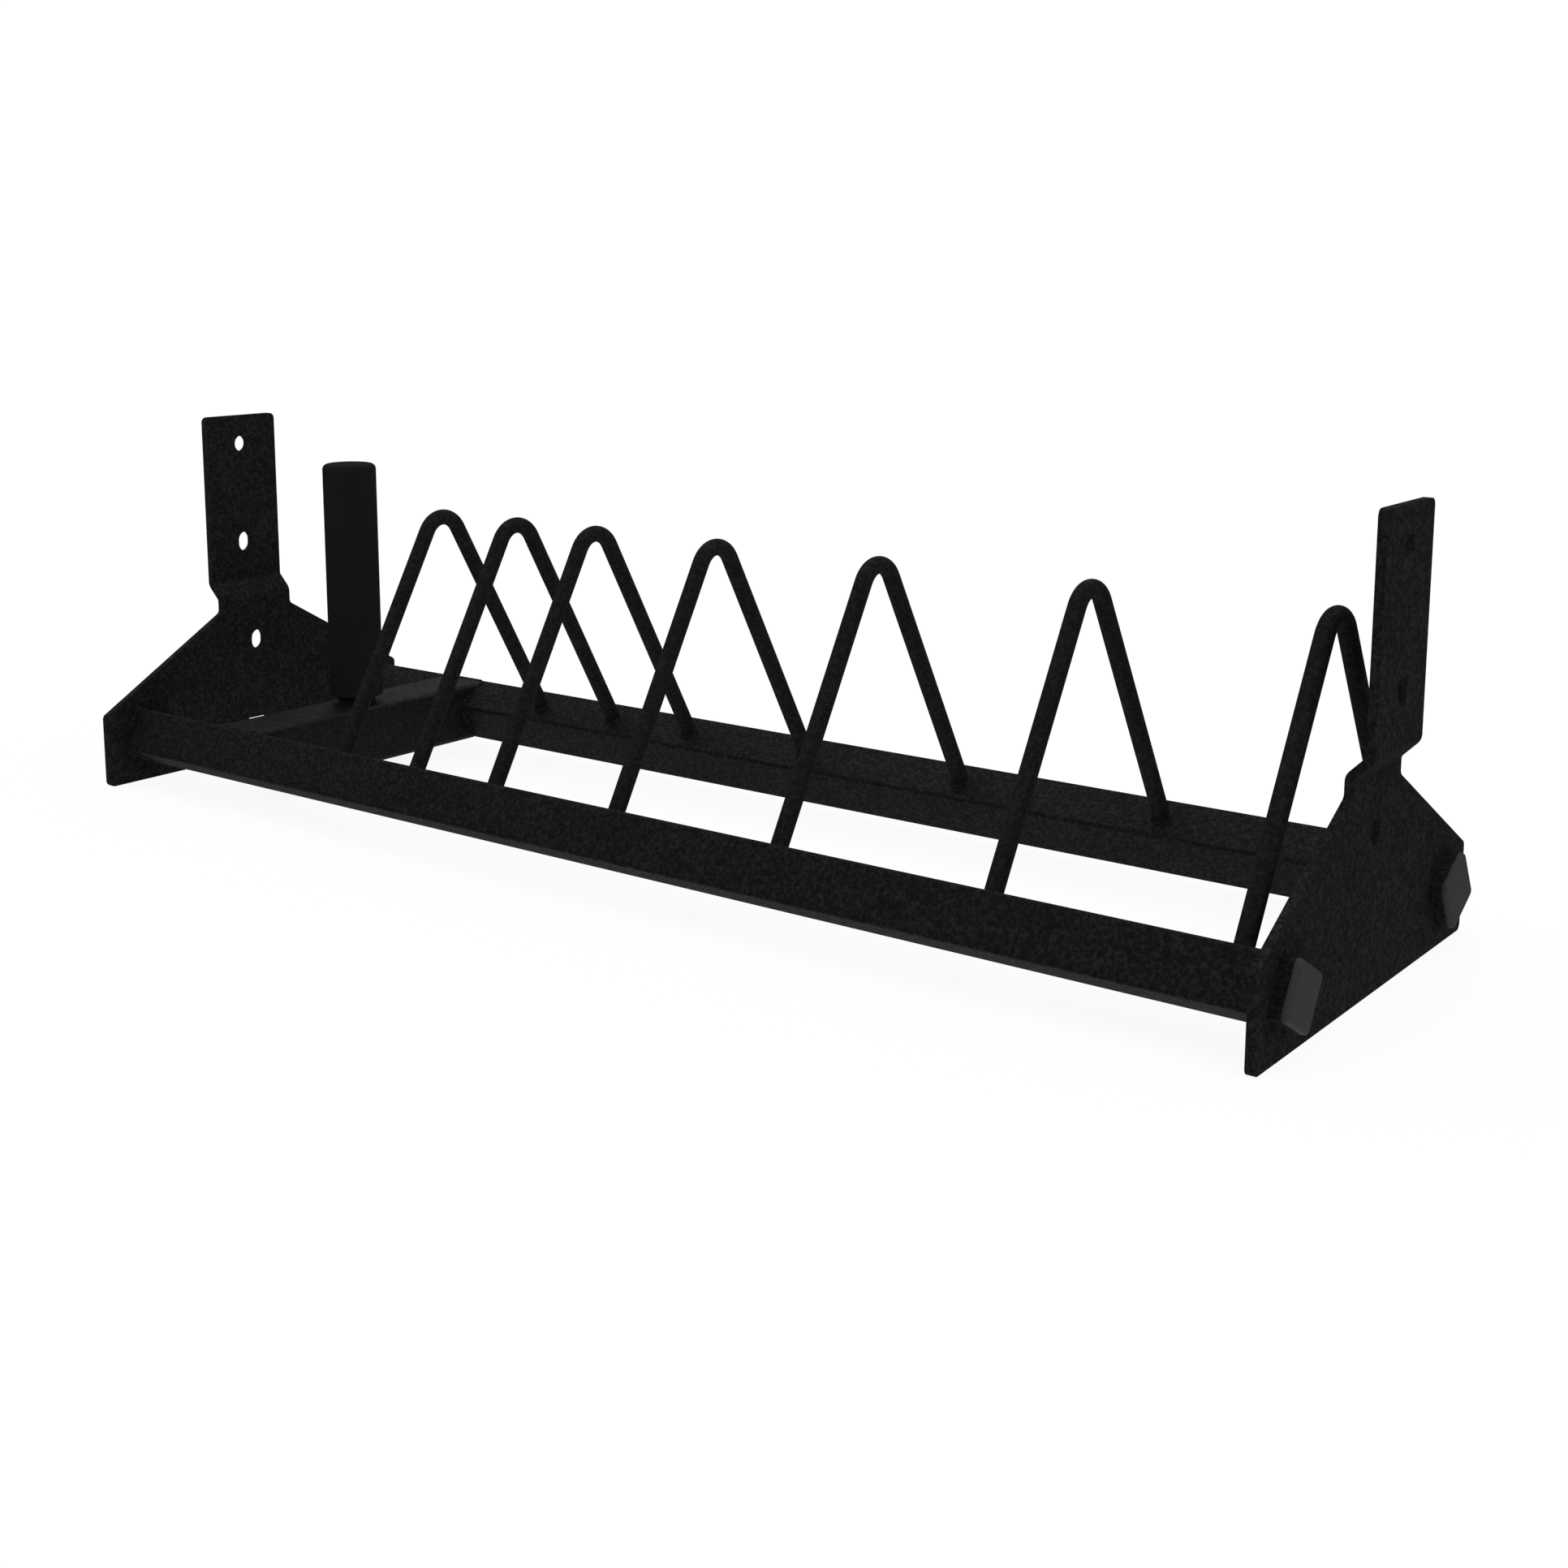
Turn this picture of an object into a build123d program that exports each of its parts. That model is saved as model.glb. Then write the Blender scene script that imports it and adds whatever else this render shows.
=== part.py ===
"""Bumper plate rack: two joggled end plates, two tilted square rails, seven bent-rod dividers,
and a square cross-member that carries an upright post for small plates.

Frame: X runs along the rack, +Y from the front rail to the rear rail, +Z up.
The origin is under the middle of the rack, level with the end plates' bottom edges.
"""
from build123d import *
import math
import os

# ---------------------------------------------------------------- driving dimensions, mm
CLEAR_SPAN = 1046.5         # between the inner faces of the two end plates

PLATE_THICKNESS = 6.0
PLATE_HALF_WIDTH = 164.5
PLATE_SIDE_HEIGHT = 61.5    # the upright edge at the front and the rear, before the slope
PLATE_SHOULDER_Z = 134.6    # where the slopes meet the tab
PLATE_CORNER_RADIUS = 4.8
TAB_WIDTH = 76.2
TAB_TOP_Z = 308.7
JOGGLE_OFFSET = 12.2        # how far the tab stands outside the lower plate
JOGGLE_START_Z = 148.2      # the lower bend, on the inner face
JOGGLE_ANGLE = 45.0
BEND_INNER_RADIUS = 3.0

HOLE_DIAMETER = 14.3
HOLE_TOP_MARGIN = 25.4
HOLE_PITCH = 88.9
SLOT_LENGTH = 17.6
WINDOW_WIDTH = 22.6         # the small window low in the left plate
WINDOW_Y = -3.9
WINDOW_TOP_Z = 33.8
WINDOW_BOTTOM_Z = 12.0
WINDOW_RADIUS = 2.0

RAIL_SIZE = 38.1
RAIL_WALL = 2.5
RAIL_OUTER_RADIUS = 2.7
RAIL_INNER_RADIUS = 0.7
RAIL_Y = 125.35             # rail centre, front and rear of the rack's centre plane
RAIL_Z = 39.04
RAIL_TILT = 30.0            # the top faces lean towards each other
RAIL_STUB = 8.2             # rail end past the plate's outer face

CAP_HEAD = 4.0
CAP_HEAD_CORNER = 4.5       # corner radius of the head's square outline
CAP_HEAD_ROUNDING = 2.6
CAP_PLUG_SIZE = 30.5
CAP_PLUG_WALL = 2.0
CAP_PLUG_DEPTH = 16.0
CAP_FIN_COUNT = 3
CAP_FIN_THICKNESS = 1.6
CAP_FIN_PITCH = 4.6

ROD_DIAMETER = 12.7
ROD_BEND_RADIUS = 19.7      # centreline radius at the top of each divider
DIVIDER_X = (-279.1, -194.0, -108.8, 12.8, 159.7, 328.9, 498.1)

CROSS_X = -391.9
CROSS_SIZE = 50.8
CROSS_HALF_LENGTH = 129.0   # the top stops just short of the rails' ridges
CROSS_WALL = 3.0
CROSS_OUTER_RADIUS = 4.0
CROSS_INNER_RADIUS = 1.0

POST_TUBE_DIAMETER = 31.75
POST_TUBE_WALL = 3.0
SLEEVE_DIAMETER = 45.5
SLEEVE_BORE_CLEARANCE = 0.1
SLEEVE_BOTTOM_Z = 71.6
SLEEVE_TOP_Z = 274.2
SLEEVE_CROWN = 6.0          # solid thickness of the closed top
SLEEVE_RIM_RADIUS = 4.8
SLEEVE_MOUTH_CHAMFER = 1.0

ROD_WELD_LEG = 2.0
RAIL_WELD_LEG = 1.5
POST_WELD_LEG = 1.0
CROSS_WELD_LEG = 1.5
CROSS_WELD_END_GAP = 4.0
RIDGE_BEAD_RADIUS = 2.4     # the bead that closes the gap between the cross-member and a ridge
RIDGE_BEAD_Y = 130.8
RIDGE_BEAD_Z = 62.7

# ---------------------------------------------------------------- derived places
INNER_X = CLEAR_SPAN / 2
OUTER_X = INNER_X + PLATE_THICKNESS
RAIL_END_X = OUTER_X + RAIL_STUB
TILT = math.radians(RAIL_TILT)
HALF_RAIL = RAIL_SIZE / 2
RAIL_REACH = (HALF_RAIL - RAIL_OUTER_RADIUS) * (math.cos(TILT) + math.sin(TILT)) + RAIL_OUTER_RADIUS
CROSS_TOP_Z = RAIL_Z + RAIL_REACH
CROSS_Z = CROSS_TOP_Z - CROSS_SIZE / 2
FOOT_Y = RAIL_Y - HALF_RAIL * math.sin(TILT)
FOOT_Z = RAIL_Z + HALF_RAIL * math.cos(TILT)
LEG_CROSSING_Z = RAIL_Z + RAIL_Y / math.tan(TILT)
HOLE_TOP_Z = TAB_TOP_Z - HOLE_TOP_MARGIN
SIDES = {"front": -1, "rear": 1}
ENDS = {"left": -1, "right": 1}


def square_bar(length, size, radius):
    """A bar along X with rounded long edges, centred on the origin."""
    return fillet(Box(length, size, size).edges().filter_by(Axis.X), radius)


def at_rail(side, shape, x=0.0):
    """Puts a shape made about the X axis onto a rail's centre line, with the rail's tilt."""
    return Pos(x, side * RAIL_Y, RAIL_Z) * Rot(side * RAIL_TILT, 0, 0) * shape


def at_end(end, shape):
    """Turns a shape made for the right end half round for the left; it is alike front and back."""
    return shape if end > 0 else Rot(0, 0, 180) * shape


def rail_blank(side):
    return at_rail(side, square_bar(2 * RAIL_END_X, RAIL_SIZE, RAIL_OUTER_RADIUS))


RAIL_BLANKS = [rail_blank(side) for side in SIDES.values()]


# ---------------------------------------------------------------- end plates
def joggled_sheet():
    """The right plate's section, bent outwards and back, drawn out over the full width."""
    shift = PLATE_THICKNESS * math.tan(math.radians(JOGGLE_ANGLE / 2))
    rise = JOGGLE_OFFSET / math.tan(math.radians(JOGGLE_ANGLE))
    bend_outer_radius = BEND_INNER_RADIUS + PLATE_THICKNESS
    corners = [
        (INNER_X, 0),
        (INNER_X, JOGGLE_START_Z),
        (INNER_X + JOGGLE_OFFSET, JOGGLE_START_Z + rise),
        (INNER_X + JOGGLE_OFFSET, TAB_TOP_Z),
        (OUTER_X + JOGGLE_OFFSET, TAB_TOP_Z),
        (OUTER_X + JOGGLE_OFFSET, JOGGLE_START_Z - shift + rise),
        (OUTER_X, JOGGLE_START_Z - shift),
        (OUTER_X, 0),
    ]
    radii = [0, bend_outer_radius, BEND_INNER_RADIUS, 0, 0, bend_outer_radius, BEND_INNER_RADIUS, 0]
    outline = FilletPolyline(*corners, radius=radii, close=True)
    return extrude(Plane.XZ * make_face(outline), amount=PLATE_HALF_WIDTH, both=True)


def plate_outline():
    """The flat pattern seen along X: a house shape that narrows to the tab."""
    half_tab = TAB_WIDTH / 2
    right_side = [
        (PLATE_HALF_WIDTH, 0),
        (PLATE_HALF_WIDTH, PLATE_SIDE_HEIGHT),
        (half_tab, PLATE_SHOULDER_Z),
        (half_tab, TAB_TOP_Z),
    ]
    left_side = [(-y, z) for y, z in reversed(right_side)]
    outline = FilletPolyline(*right_side, *left_side, radius=PLATE_CORNER_RADIUS, close=True)
    return extrude(Plane.YZ * make_face(outline), amount=OUTER_X + 2 * JOGGLE_OFFSET)


def cut_along_x(sketch, z, y=0.0):
    return extrude(Plane.YZ * Pos(y, z) * sketch, amount=OUTER_X + 2 * JOGGLE_OFFSET)


def right_plate():
    slot = Rot(0, 0, 90) * SlotOverall(SLOT_LENGTH, HOLE_DIAMETER)
    plate = joggled_sheet() & plate_outline()
    plate -= cut_along_x(Circle(HOLE_DIAMETER / 2), HOLE_TOP_Z)
    for step in (1, 2):
        plate -= cut_along_x(slot, HOLE_TOP_Z - step * HOLE_PITCH)
    for blank in RAIL_BLANKS:
        plate -= blank
    return plate


def left_plate():
    window_height = WINDOW_TOP_Z - WINDOW_BOTTOM_Z
    window = RectangleRounded(WINDOW_WIDTH, window_height, WINDOW_RADIUS)
    cutter = cut_along_x(window, (WINDOW_TOP_Z + WINDOW_BOTTOM_Z) / 2, -WINDOW_Y)
    return at_end(ENDS["left"], right_plate() - cutter)


# ---------------------------------------------------------------- rails and their end caps
def rail(side):
    length = 2 * RAIL_END_X
    bore = square_bar(length, RAIL_SIZE - 2 * RAIL_WALL, RAIL_INNER_RADIUS)
    return rail_blank(side) - at_rail(side, bore)


def end_cap():
    """A push-in cap that points along +X, with its head's inner face at x = 0."""
    head = Pos(CAP_HEAD / 2, 0, 0) * square_bar(CAP_HEAD, RAIL_SIZE, CAP_HEAD_CORNER)
    head = fillet(head.faces().sort_by(Axis.X)[-1].edges(), CAP_HEAD_ROUNDING)
    plug = Box(CAP_PLUG_DEPTH, CAP_PLUG_SIZE, CAP_PLUG_SIZE)
    core_size = CAP_PLUG_SIZE - 2 * CAP_PLUG_WALL
    plug -= Box(CAP_PLUG_DEPTH, core_size, core_size)
    cap = head + Pos(-CAP_PLUG_DEPTH / 2, 0, 0) * plug
    fin = square_bar(CAP_FIN_THICKNESS, RAIL_SIZE - 2 * RAIL_WALL, RAIL_INNER_RADIUS)
    fin -= Box(CAP_FIN_THICKNESS, core_size, core_size)
    for index in range(CAP_FIN_COUNT):
        cap += Pos(-CAP_FIN_PITCH * (index + 0.5), 0, 0) * fin
    return cap


def placed_cap(side, end):
    return at_rail(side, at_end(end, end_cap()), end * RAIL_END_X)


# ---------------------------------------------------------------- dividers
def divider(x):
    """A round rod bent to a hairpin; each leg stands square on a rail's top face."""
    path = FilletPolyline(
        (x, -FOOT_Y, FOOT_Z), (x, 0, LEG_CROSSING_Z), (x, FOOT_Y, FOOT_Z), radius=ROD_BEND_RADIUS
    )
    section = Plane(origin=path @ 0, z_dir=path % 0) * Circle(ROD_DIAMETER / 2)
    return sweep(section, path=path)


# ---------------------------------------------------------------- cross-member and post
def cross_member():
    """A square tube across the rack whose ends are coped onto the rails' two inward faces."""
    length = 2 * CROSS_HALF_LENGTH
    tube = square_bar(length, CROSS_SIZE, CROSS_OUTER_RADIUS)
    tube -= square_bar(length, CROSS_SIZE - 2 * CROSS_WALL, CROSS_INNER_RADIUS)
    tube = Pos(CROSS_X, 0, CROSS_Z) * Rot(0, 0, 90) * tube
    cope_size = 4 * RAIL_SIZE
    cope = square_bar(2 * CROSS_SIZE, cope_size, RAIL_OUTER_RADIUS)
    offset = cope_size / 2 - HALF_RAIL
    for side in SIDES.values():
        tube -= at_rail(side, Pos(0, side * offset, -offset) * cope, CROSS_X)
    return tube


def post_tube():
    radius = POST_TUBE_DIAMETER / 2
    height = SLEEVE_TOP_Z - SLEEVE_CROWN - CROSS_TOP_Z
    tube = Cylinder(radius, height) - Cylinder(radius - POST_TUBE_WALL, height)
    return Pos(CROSS_X, 0, CROSS_TOP_Z + height / 2) * tube


def post_sleeve():
    """A plastic sleeve with a closed, rounded top that rests on the tube's end."""
    height = SLEEVE_TOP_Z - SLEEVE_BOTTOM_Z
    body = Cylinder(SLEEVE_DIAMETER / 2, height)
    body = fillet(body.edges().sort_by(Axis.Z)[-1], SLEEVE_RIM_RADIUS)
    body = Pos(0, 0, SLEEVE_BOTTOM_Z + height / 2) * body
    bore_depth = height - SLEEVE_CROWN
    bore = Cylinder(POST_TUBE_DIAMETER / 2 + SLEEVE_BORE_CLEARANCE, bore_depth)
    sleeve = body - Pos(0, 0, SLEEVE_BOTTOM_Z + bore_depth / 2) * bore
    mouth = sleeve.faces().sort_by(Axis.Z)[0].edges()
    return Pos(CROSS_X, 0, 0) * chamfer(mouth, SLEEVE_MOUTH_CHAMFER)


# ---------------------------------------------------------------- weld beads
def ring_weld(radius, leg):
    """A triangular fillet around an upright round of the given radius, standing on z = 0."""
    section = Polyline((radius, 0), (radius + leg, 0), (radius, leg), close=True)
    return revolve(Plane.XZ * make_face(section), axis=Axis.Z)


def rod_welds(side):
    ring = Pos(0, 0, HALF_RAIL) * ring_weld(ROD_DIAMETER / 2, ROD_WELD_LEG)
    return Compound(children=[at_rail(side, ring, x) for x in DIVIDER_X])


def rail_welds(end):
    """Square fillets where the two rails meet one plate's inner face."""
    base = RectangleRounded(
        RAIL_SIZE + 2 * RAIL_WELD_LEG, RAIL_SIZE + 2 * RAIL_WELD_LEG, RAIL_OUTER_RADIUS + RAIL_WELD_LEG
    )
    frustum = extrude(Plane.YZ * base, amount=RAIL_WELD_LEG, taper=45)
    bead = frustum - square_bar(4 * RAIL_WELD_LEG, RAIL_SIZE, RAIL_OUTER_RADIUS)
    bead = at_end(-end, bead)
    return Compound(children=[at_rail(side, bead, end * INNER_X) for side in SIDES.values()])


def ridge_bead(side):
    """A round bead along a rail's ridge, laid over the gap at the cross-member's top edge."""
    bead = Cylinder(RIDGE_BEAD_RADIUS, CROSS_SIZE - 2 * CROSS_OUTER_RADIUS, rotation=(0, 90, 0))
    bead = Pos(CROSS_X, side * RIDGE_BEAD_Y, RIDGE_BEAD_Z) * bead
    return bead - rail_blank(side) - cross_member()


def cross_member_welds():
    """Straight fillets between the tube's side walls and the rails, and the two ridge beads."""
    run = RAIL_SIZE - 2 * CROSS_WELD_END_GAP
    section = Polyline((0, 0), (CROSS_WELD_LEG, 0), (0, CROSS_WELD_LEG), close=True)
    bead = extrude(Plane.XZ * make_face(section), amount=run / 2, both=True)
    beads = [ridge_bead(side) for side in SIDES.values()]
    for end in ENDS.values():
        on_top = Pos(0, 0, HALF_RAIL) * at_end(end, bead)
        for side in SIDES.values():
            on_inner = Rot(side * 90, 0, 0) * on_top
            wall_x = CROSS_X + end * CROSS_SIZE / 2
            beads += [at_rail(side, on_top, wall_x), at_rail(side, on_inner, wall_x)]
    return Compound(children=beads)


def post_weld():
    return Pos(CROSS_X, 0, CROSS_TOP_Z) * ring_weld(POST_TUBE_DIAMETER / 2, POST_WELD_LEG)


# ---------------------------------------------------------------- the assembly
def build_nodes():
    nodes = {
        "end_plate_left": left_plate(),
        "end_plate_right": right_plate(),
        "cross_member": cross_member(),
        "cross_member_welds": cross_member_welds(),
        "post_tube": post_tube(),
        "post_weld": post_weld(),
        "post_sleeve": post_sleeve(),
    }
    for side_name, side in SIDES.items():
        nodes[f"rail_{side_name}"] = rail(side)
        nodes[f"rod_welds_{side_name}"] = rod_welds(side)
        for end_name, end in ENDS.items():
            nodes[f"end_cap_{side_name}_{end_name}"] = placed_cap(side, end)
    for end_name, end in ENDS.items():
        nodes[f"rail_welds_{end_name}"] = rail_welds(end)
    for number, x in enumerate(DIVIDER_X, start=1):
        nodes[f"divider_{number}"] = divider(x)
    return nodes


os.makedirs("parts", exist_ok=True)
for name, shape in build_nodes().items():
    export_step(shape, f"parts/{name}.step")
    print(name, len(shape.solids()), "solid(s)", round(shape.volume), "mm3")
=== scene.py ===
import math

import bmesh
import bpy
from mathutils import Matrix, Vector


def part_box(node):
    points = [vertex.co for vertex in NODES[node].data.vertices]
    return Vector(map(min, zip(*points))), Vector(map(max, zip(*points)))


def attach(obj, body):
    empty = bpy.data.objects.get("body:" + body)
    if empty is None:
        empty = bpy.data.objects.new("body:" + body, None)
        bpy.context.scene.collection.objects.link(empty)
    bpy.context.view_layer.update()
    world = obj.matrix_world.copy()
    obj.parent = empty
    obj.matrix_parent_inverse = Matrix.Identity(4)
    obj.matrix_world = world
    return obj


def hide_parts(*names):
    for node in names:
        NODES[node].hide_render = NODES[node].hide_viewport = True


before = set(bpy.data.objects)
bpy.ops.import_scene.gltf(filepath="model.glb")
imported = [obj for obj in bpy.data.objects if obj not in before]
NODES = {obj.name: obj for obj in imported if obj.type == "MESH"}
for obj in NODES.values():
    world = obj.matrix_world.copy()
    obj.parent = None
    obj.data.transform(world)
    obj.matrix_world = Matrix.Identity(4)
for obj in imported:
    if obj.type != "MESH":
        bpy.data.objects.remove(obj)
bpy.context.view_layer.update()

# Bumper plate rack: materials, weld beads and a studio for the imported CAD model. Metres, in its frame:
# X along the rack, +Y from the front rail to the rear rail, +Z up, floor at z = 0.

MM = 0.001
RAIL_SIDES = {"front": -1, "rear": 1}
PLATE_ENDS = {"left": -1, "right": 1}
DIVIDERS = sorted(name for name in NODES if name.startswith("divider_"))

# ---------------------------------------------------------------- sizes of rails and weld beads
RAIL_SIZE = 38.1 * MM
RAIL_CORNER = 2.7 * MM
RAIL_TILT = math.radians(30)
ROD_LEG = 2.0 * MM
RAIL_LEG = 1.5 * MM
POST_LEG = 1.0 * MM
CROSS_LEG = 1.5 * MM
CROSS_END_GAP = 4.0 * MM    # from the cross-member's beads to the rail faces' edges
CROSS_CORNER = 4.0 * MM     # from the ridge beads' ends to the cross-member's sides
RIDGE_LINE = 132.3 * MM     # how far each rail's ridge is from the rack's centre plane
RIDGE_BEAD_RADIUS = 2.2 * MM
RIDGE_BEAD_INSET = (1.5 * MM, 1.3 * MM)     # of its root: inside the ridge, below the top
QUARTER = math.pi / 2
BEAD_SECTION_STEPS = 6      # in a quarter turn
BEAD_FULLNESS = 1.3         # 1 is a flat bead, 2 a quarter round
STATION_PITCH = 0.4 * MM
RIPPLE_PITCH = 1.9 * MM
RIPPLE_HEIGHT = 0.10        # of the bead's leg
RIPPLE_SWEEP = 0.5          # how far each ripple bows along the bead, of its leg


# ---------------------------------------------------------------- node helpers
def new_material(name):
    material = bpy.data.materials.new(name)
    material.use_nodes = True
    nodes, links = material.node_tree.nodes, material.node_tree.links
    shader = nodes["Principled BSDF"]
    return material, nodes, links, shader


def placed_coordinates(nodes, links, offset):
    """Object coordinates in metres, moved so that no two materials show the same stretch."""
    coordinates = nodes.new("ShaderNodeTexCoord")
    mapping = nodes.new("ShaderNodeMapping")
    mapping.inputs["Location"].default_value = offset
    links.new(coordinates.outputs["Object"], mapping.inputs["Vector"])
    return mapping.outputs["Vector"]


def noise(nodes, links, where, feature, detail=2.0, roughness=0.5, distortion=0.0):
    """Noise whose lumps are about `feature` metres across."""
    texture = nodes.new("ShaderNodeTexNoise")
    texture.inputs["Scale"].default_value = 1 / feature
    texture.inputs["Detail"].default_value = detail
    texture.inputs["Roughness"].default_value = roughness
    texture.inputs["Distortion"].default_value = distortion
    links.new(where, texture.inputs["Vector"])
    return texture.outputs["Fac"]


def mixed(nodes, links, first, second, share):
    """A weighted sum of two values: `share` of the second."""
    mix = nodes.new("ShaderNodeMix")
    mix.inputs["Factor"].default_value = share
    links.new(first, mix.inputs["A"])
    links.new(second, mix.inputs["B"])
    return mix.outputs["Result"]


def spread(nodes, links, value, low, high, new_low, new_high):
    """The range low to high, stretched over new_low to new_high."""
    rescale = nodes.new("ShaderNodeMapRange")
    rescale.inputs["From Min"].default_value = low
    rescale.inputs["From Max"].default_value = high
    rescale.inputs["To Min"].default_value = new_low
    rescale.inputs["To Max"].default_value = new_high
    links.new(value, rescale.inputs["Value"])
    return rescale.outputs["Result"]


def grey_ramp(nodes, links, value, stops):
    """Colours from (position, (r, g, b)) stops."""
    stops = list(stops)
    ramp = nodes.new("ShaderNodeValToRGB")
    elements = ramp.color_ramp.elements
    while len(elements) < len(stops):
        elements.new(0.5)
    for element, (position, colour) in zip(elements, stops):
        element.position = position
        element.color = (*colour, 1)
    links.new(value, ramp.inputs["Fac"])
    return ramp.outputs["Color"]


def bump(nodes, links, height, distance, strength):
    """Surface normals for a relief that is `distance` metres deep."""
    relief = nodes.new("ShaderNodeBump")
    relief.inputs["Distance"].default_value = distance
    relief.inputs["Strength"].default_value = strength
    links.new(height, relief.inputs["Height"])
    return relief.outputs["Normal"]


def finish_surface(links, shader, colour, roughness, normal, specular):
    links.new(colour, shader.inputs["Base Color"])
    links.new(roughness, shader.inputs["Roughness"])
    links.new(normal, shader.inputs["Normal"])
    shader.inputs["Specular IOR Level"].default_value = specular


# ---------------------------------------------------------------- materials
COAT_GREY = 0.0290
COAT_TINT = 1.025           # of its blue, against red and green
COAT_SPECKLES = ((0.40, 0.55), (0.50, 1.0), (0.62, 2.1))     # noise value, share of the mean grey
COAT_LUMP = 3.0 * MM
COAT_GRAINS_PER_LUMP = 3.5
COAT_CLOUD = 38 * MM
COAT_GRAIN_SHARE = 0.15
COAT_CLOUD_SHARE = 0.12
COAT_HEIGHTS = (0.35, 0.65)     # noise values that take the first and the last roughness
COAT_RELIEF = 0.5 * MM

PLASTIC_TONES = (0.3, 0.7)      # noise values that take a plastic's first and last grey and roughness
CAP_GREYS = ((0.140, 0.140, 0.141), (0.154, 0.154, 0.155))
CAP_ROUGHNESS = (0.52, 0.44)
CAP_SPECULAR = 0.24
CAP_GRAIN = 0.45 * MM
CAP_CLOUD = 9 * MM
CAP_CLOUD_SHARE = 0.6
CAP_RELIEF = 0.03 * MM
SLEEVE_GREYS = ((0.0390, 0.0390, 0.0400), (0.0440, 0.0440, 0.0451))
SLEEVE_ROUGHNESS = (0.74, 0.66)
SLEEVE_SPECULAR = 0.04
SLEEVE_LINE = 1.1 * MM
SLEEVE_LINE_SCALE = (1, 1, 0.04)    # drawn out along the sleeve
SLEEVE_GRAIN = 0.6 * MM
SLEEVE_GRAIN_SHARE = 0.4
SLEEVE_RELIEF = 0.02 * MM


def powder_coat(name, offset, painted_light_scale=1.0, contrast=1.0, roughness=(0.90, 0.76), specular=0.40):
    """Black powder coat with a coarse leathery texture and a fine grain on top of it. Its grey is scaled
    per part, which paints that part's light and shade into its colour.
    """
    material, nodes, links, shader = new_material(name)
    where = placed_coordinates(nodes, links, offset)
    leather = noise(nodes, links, where, COAT_LUMP, detail=1.2, distortion=0.7)
    grain = noise(nodes, links, where, COAT_LUMP / COAT_GRAINS_PER_LUMP, roughness=0.6)
    cloud = noise(nodes, links, where, COAT_CLOUD)
    height = mixed(nodes, links, leather, grain, COAT_GRAIN_SHARE)
    tone = mixed(nodes, links, height, cloud, COAT_CLOUD_SHARE)
    # painted light and shade: this scale makes each part's copy of the coat lighter or darker
    greys = [(at, COAT_GREY * painted_light_scale * share**contrast) for at, share in COAT_SPECKLES]
    colour = grey_ramp(nodes, links, tone, [(at, (grey, grey, COAT_TINT * grey)) for at, grey in greys])
    rough = spread(nodes, links, height, *COAT_HEIGHTS, *roughness)
    relief = bump(nodes, links, height, COAT_RELIEF, strength=1.0)
    finish_surface(links, shader, colour, rough, relief, specular)
    return material


def cap_plastic(name, offset):
    """Grey moulded plastic with a fine spark-eroded grain."""
    material, nodes, links, shader = new_material(name)
    where = placed_coordinates(nodes, links, offset)
    grain = noise(nodes, links, where, CAP_GRAIN)
    cloud = noise(nodes, links, where, CAP_CLOUD, detail=1.0)
    tone = mixed(nodes, links, grain, cloud, CAP_CLOUD_SHARE)
    colour = grey_ramp(nodes, links, tone, zip(PLASTIC_TONES, CAP_GREYS))
    rough = spread(nodes, links, grain, *PLASTIC_TONES, *CAP_ROUGHNESS)
    relief = bump(nodes, links, grain, CAP_RELIEF, strength=0.6)
    finish_surface(links, shader, colour, rough, relief, CAP_SPECULAR)
    return material


def sleeve_plastic(name, offset):
    """Smooth black plastic tube with faint drawing lines along it."""
    material, nodes, links, shader = new_material(name)
    where = placed_coordinates(nodes, links, offset)
    drawn_out = nodes.new("ShaderNodeMapping")
    drawn_out.inputs["Scale"].default_value = SLEEVE_LINE_SCALE
    links.new(where, drawn_out.inputs["Vector"])
    lines = noise(nodes, links, drawn_out.outputs["Vector"], SLEEVE_LINE)
    grain = noise(nodes, links, where, SLEEVE_GRAIN)
    tone = mixed(nodes, links, lines, grain, SLEEVE_GRAIN_SHARE)
    colour = grey_ramp(nodes, links, tone, zip(PLASTIC_TONES, SLEEVE_GREYS))
    rough = spread(nodes, links, tone, *PLASTIC_TONES, *SLEEVE_ROUGHNESS)
    relief = bump(nodes, links, tone, SLEEVE_RELIEF, strength=0.5)
    finish_surface(links, shader, colour, rough, relief, SLEEVE_SPECULAR)
    return material


def coat(node, material):
    slots = NODES[node].data.materials
    slots.clear()
    slots.append(material)


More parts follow.
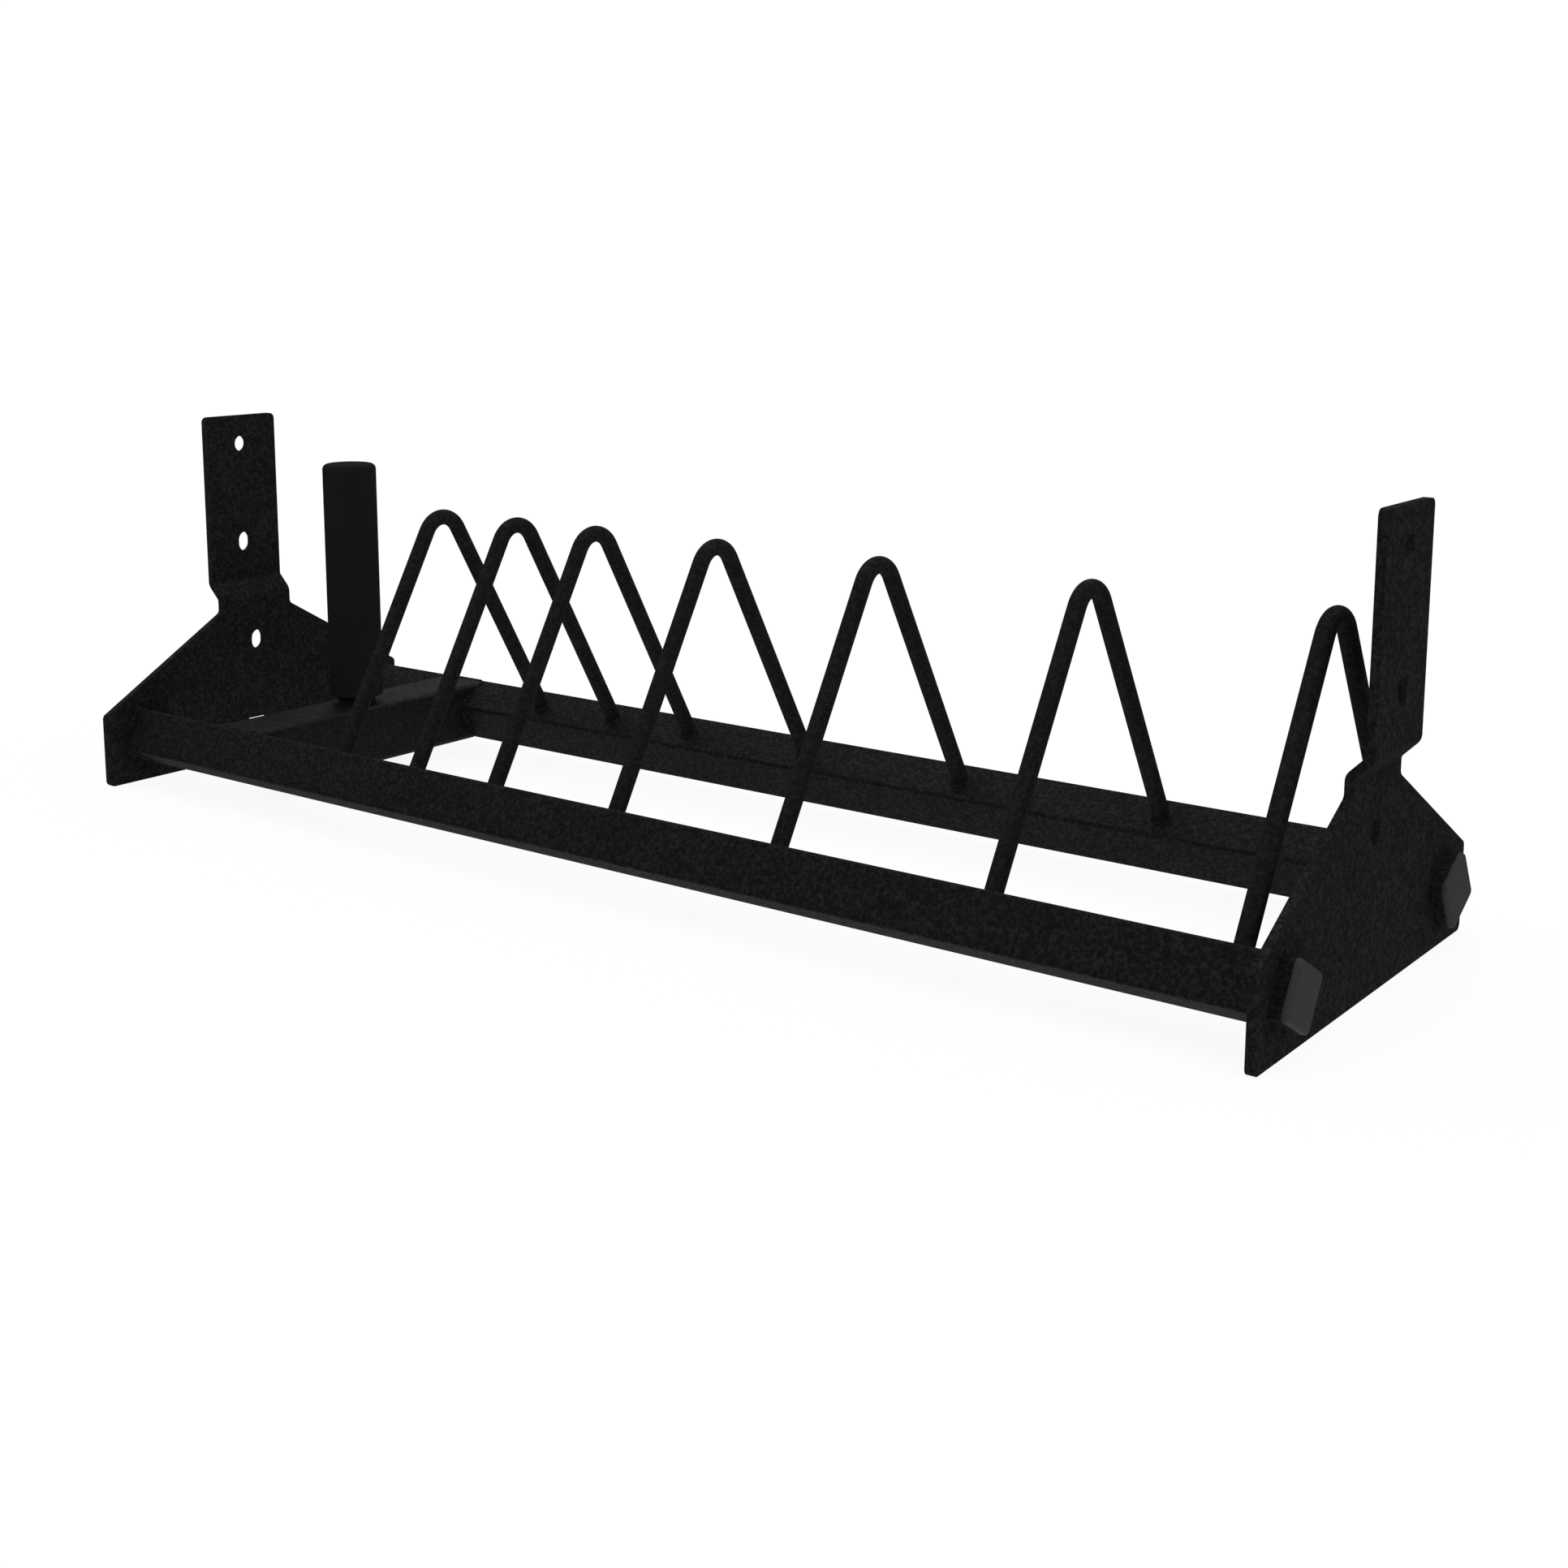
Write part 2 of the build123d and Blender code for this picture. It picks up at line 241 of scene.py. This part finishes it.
def finish_cad_nodes():
    # One black powder coat in lit and shaded copies: each part's grey scale is painted light or shade;
    # roughness, specular and speckle also differ
    plates = powder_coat(
        "plate_powder_coat", offset=(0.0, 0.0, 0.0), painted_light_scale=1.32, contrast=0.8, specular=0.20
    )
    rails = powder_coat(
        "rail_powder_coat", offset=(3.1, 0.4, 1.7),
        painted_light_scale=0.54, contrast=1.3, roughness=(0.74, 0.60), specular=0.36,
    )
    cross = powder_coat(
        "cross_member_powder_coat", offset=(1.2, 5.3, 0.6),
        painted_light_scale=0.68, roughness=(0.58, 0.44), specular=0.48,
    )
    rods = powder_coat("rod_powder_coat", offset=(7.4, 2.2, 3.9), painted_light_scale=0.93, contrast=0.65)
    for end in PLATE_ENDS:
        coat(f"end_plate_{end}", plates)
    for side in RAIL_SIDES:
        coat(f"rail_{side}", rails)
    for node in ("cross_member", "post_tube"):
        coat(node, cross)
    for node in DIVIDERS:
        coat(node, rods)
    caps = cap_plastic("end_cap_plastic", offset=(0.3, 0.9, 0.2))
    for side in RAIL_SIDES:
        for end in PLATE_ENDS:
            coat(f"end_cap_{side}_{end}", caps)
    coat("post_sleeve", sleeve_plastic("sleeve_plastic", offset=(0.5, 0.1, 0.8)))


# ---------------------------------------------------------------- weld beads
def centre(node):
    low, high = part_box(node)
    return (low + high) / 2


def rail_place(side_name, x):
    """From a frame on the rail's centre line, turned with the rail, to the rack's frame."""
    middle = centre(f"rail_{side_name}")
    turn = Matrix.Rotation(RAIL_SIDES[side_name] * RAIL_TILT, 4, "X")
    return Matrix.Translation((x, middle.y, middle.z)) @ turn


def ring_path(radius):
    """Stations round an upright round: (point, along the base, up the round)."""
    count = round(2 * math.pi * radius / STATION_PITCH)
    path = []
    for index in range(count):
        angle = 2 * math.pi * index / count
        outward = Vector((math.cos(angle), math.sin(angle), 0))
        path.append((outward * radius, outward, Vector((0, 0, 1))))
    return path


def square_path(size, corner, inward):
    """Stations round a square bar that meets a plate: (point, along the plate, along the bar)."""
    flat = size / 2 - corner
    side_steps = round(2 * flat / STATION_PITCH)
    corner_steps = round(corner * QUARTER / STATION_PITCH)
    along_bar = Vector((inward, 0, 0))
    path = []
    for quarter in range(4):
        turn = Matrix.Rotation(quarter * QUARTER, 3, "X")
        for step in range(side_steps):
            across = Vector((0, 1, 0))
            point = Vector((0, size / 2, -flat + 2 * flat * step / side_steps))
            path.append((turn @ point, turn @ across, along_bar))
        for step in range(corner_steps):
            angle = QUARTER * step / corner_steps
            across = Vector((0, math.cos(angle), math.sin(angle)))
            path.append((turn @ (Vector((0, flat, flat)) + across * corner), turn @ across, along_bar))
    return path


def straight_path(start, end, first, second):
    """Stations from start to end, with the bead's two legs along `first` and `second`."""
    count = round((end - start).length / STATION_PITCH)
    return [(start.lerp(end, index / count), first, second) for index in range(count + 1)]


def add_bead(model, path, leg, place, closed, fullness=BEAD_FULLNESS, turn=QUARTER):
    """Lays a solid, rippled bead along a path of stations. Its section spans `turn` about its root.

    Of the section's corners, the first is the root; the bulged face runs through the others.
    """
    total = STATION_PITCH * len(path)
    pitch = total / max(1, round(total / RIPPLE_PITCH))
    steps = round(BEAD_SECTION_STEPS * turn / QUARTER)
    rows = []
    for index, (point, first, second) in enumerate(path):
        row = [model.verts.new(place @ point)]
        for step in range(steps + 1):
            bulge = math.sin(math.pi * step / steps)
            along = STATION_PITCH * index + RIPPLE_SWEEP * leg * bulge
            reach = leg * (1 + RIPPLE_HEIGHT * bulge * math.cos(2 * math.pi * along / pitch))
            across, up = math.cos(turn * step / steps), math.sin(turn * step / steps)
            across = math.copysign(abs(across) ** (2 / fullness), across)
            up = abs(up) ** (2 / fullness)
            row.append(model.verts.new(place @ (point + reach * (across * first + up * second))))
        rows.append(row)
    pairs = list(zip(rows, rows[1:])) + ([(rows[-1], rows[0])] if closed else [])
    for row, following in pairs:
        for corner in range(len(row)):
            beside = (corner + 1) % len(row)
            face = model.faces.new((row[corner], following[corner], following[beside], row[beside]))
            face.smooth = corner > 0 and beside > 0
    if not closed:
        model.faces.new(rows[0])
        model.faces.new(rows[-1])


def finish_beads(node, model, material):
    """Turns the collected beads into one object that stands in for a CAD weld node."""
    bmesh.ops.recalc_face_normals(model, faces=model.faces)
    mesh = bpy.data.meshes.new(f"{node}_rippled")
    model.to_mesh(mesh)
    model.free()
    mesh.materials.append(material)
    beads = bpy.data.objects.new(mesh.name, mesh)
    bpy.context.scene.collection.objects.link(beads)
    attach(beads, "root")
    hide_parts(node)


def rod_beads(side_name, material):
    low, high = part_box(DIVIDERS[0])
    foot = Matrix.Translation((0, 0, RAIL_SIZE / 2))
    model = bmesh.new()
    for divider in DIVIDERS:
        place = rail_place(side_name, centre(divider).x) @ foot
        add_bead(model, ring_path((high.x - low.x) / 2), ROD_LEG, place, True)
    finish_beads(f"rod_welds_{side_name}", model, material)


def rail_beads(end_name, material):
    end = PLATE_ENDS[end_name]
    low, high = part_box(f"end_plate_{end_name}")
    inner_face = low.x if end > 0 else high.x
    model = bmesh.new()
    for side_name in RAIL_SIDES:
        path = square_path(RAIL_SIZE, RAIL_CORNER, -end)
        add_bead(model, path, RAIL_LEG, rail_place(side_name, inner_face), True)
    finish_beads(f"rail_welds_{end_name}", model, material)


def post_bead(material):
    low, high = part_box("post_tube")
    place = Matrix.Translation((centre("post_tube").x, 0, low.z))
    model = bmesh.new()
    add_bead(model, ring_path((high.x - low.x) / 2), POST_LEG, place, True)
    finish_beads("post_weld", model, material)


def cross_member_beads(material):
    """Beads beside the tube on both inward rail faces, and one over each rail's ridge."""
    low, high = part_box("cross_member")
    half = RAIL_SIZE / 2
    run = half - CROSS_END_GAP
    top, model = Vector((0, 0, 1)), bmesh.new()
    for side_name, side in RAIL_SIDES.items():
        inward = Vector((0, -side, 0))
        for wall_x, outward in ((low.x, -1), (high.x, 1)):
            place = rail_place(side_name, wall_x)
            away = Vector((outward, 0, 0))
            on_top = [Vector((0, y, half)) for y in (-run, run)]
            on_inner = [Vector((0, -side * half, z)) for z in (-run, run)]
            add_bead(model, straight_path(*on_top, away, top), CROSS_LEG, place, False)
            add_bead(model, straight_path(*on_inner, away, inward), CROSS_LEG, place, False)
        inset, drop = RIDGE_BEAD_INSET
        ridge_y = side * (RIDGE_LINE - inset)
        ends = [
            Vector((x, ridge_y, high.z - drop)) for x in (low.x + CROSS_CORNER, high.x - CROSS_CORNER)
        ]
        path = straight_path(*ends, Vector((0, 1, 0)), top)
        add_bead(model, path, RIDGE_BEAD_RADIUS, Matrix(), False, fullness=2, turn=2 * QUARTER)
    finish_beads("cross_member_welds", model, material)


def weld_beads():
    # the beads wear a darkened copy of the coat: painted shade
    material = powder_coat("weld_powder_coat", offset=(5.2, 1.1, 2.4), painted_light_scale=0.85)
    for side_name in RAIL_SIDES:
        rod_beads(side_name, material)
    for end_name in PLATE_ENDS:
        rail_beads(end_name, material)
    post_bead(material)
    cross_member_beads(material)


# ---------------------------------------------------------------- stage, light and camera
FLOOR_RADIUS = 30.0
FLOOR_EDGES = 96
FLOOR_PAINT = (0.30, 0.30, 0.30, 1)
FLOOR_GLOW = 0.92
BACKDROP_RADIUS = 40.0
BACKDROP_PAINT = (0, 0, 0, 1)
BACKDROP_GLOW = 1.05
LIGHT_FROM_BELOW = 0.35
LIGHT_FROM_HORIZON = 0.04
LIGHT_FROM_ABOVE = 0.41
SENSOR_WIDTH = 36.0         # millimetres, as is the focal length
FOCAL_LENGTH = 47.876
LENS_SHIFT = (0.01155, -0.1077)
CLIP_RANGE = (0.05, 100.0)
CAMERA_POSITION = (0.98241, -1.20406, 0.45695)
CAMERA_PITCH = math.radians(80.013)
CAMERA_HEADING = math.radians(37.442)


def stage_piece(name, model, paint, glow):
    """A white surface that the camera sees and the rack doesn't, so it lights nothing."""
    mesh = bpy.data.meshes.new(name)
    model.to_mesh(mesh)
    model.free()
    surface = bpy.data.objects.new(name, mesh)
    bpy.context.scene.collection.objects.link(surface)
    surface.visible_diffuse = False
    surface.visible_glossy = False
    surface.visible_transmission = False
    surface.visible_shadow = False
    material, _, _, shader = new_material(name)
    shader.inputs["Base Color"].default_value = paint
    shader.inputs["Specular IOR Level"].default_value = 0.0
    shader.inputs["Emission Color"].default_value = (1, 1, 1, 1)
    shader.inputs["Emission Strength"].default_value = glow
    mesh.materials.append(material)


def floor():
    model = bmesh.new()
    bmesh.ops.create_circle(model, cap_ends=True, radius=FLOOR_RADIUS, segments=FLOOR_EDGES)
    stage_piece("studio_floor", model, FLOOR_PAINT, FLOOR_GLOW)


def backdrop():
    model = bmesh.new()
    bmesh.ops.create_uvsphere(
        model, u_segments=FLOOR_EDGES, v_segments=FLOOR_EDGES // 2, radius=BACKDROP_RADIUS
    )
    stage_piece("studio_backdrop", model, BACKDROP_PAINT, BACKDROP_GLOW)


def world_light():
    """Soft light from all round: brightest straight above, nearly as bright straight below, dim at the
    horizon, changing smoothly between them.
    """
    world = bpy.data.worlds.new("studio")
    world.use_nodes = True
    nodes, links = world.node_tree.nodes, world.node_tree.links
    background = nodes["Background"]
    direction = nodes.new("ShaderNodeTexCoord")
    parts = nodes.new("ShaderNodeSeparateXYZ")
    links.new(direction.outputs["Generated"], parts.inputs["Vector"])
    upward = spread(nodes, links, parts.outputs["Z"], -1, 1, 0, 1)
    levels = ((0.0, LIGHT_FROM_BELOW), (0.5, LIGHT_FROM_HORIZON), (1.0, LIGHT_FROM_ABOVE))
    colour = grey_ramp(nodes, links, upward, [(at, (level,) * 3) for at, level in levels])
    links.new(colour, background.inputs["Color"])
    background.inputs["Strength"].default_value = 1
    bpy.context.scene.world = world


def camera():
    lens = bpy.data.cameras.new("camera")
    lens.sensor_width = SENSOR_WIDTH
    lens.lens = FOCAL_LENGTH
    lens.shift_x, lens.shift_y = LENS_SHIFT
    lens.clip_start, lens.clip_end = CLIP_RANGE
    view = bpy.data.objects.new("camera", lens)
    view.location = CAMERA_POSITION
    view.rotation_euler = (CAMERA_PITCH, 0, CAMERA_HEADING)
    bpy.context.scene.collection.objects.link(view)
    bpy.context.scene.camera = view


def studio():
    floor()
    backdrop()
    world_light()
    camera()
    bpy.context.scene.view_settings.view_transform = "Standard"


finish_cad_nodes()
weld_beads()
studio()
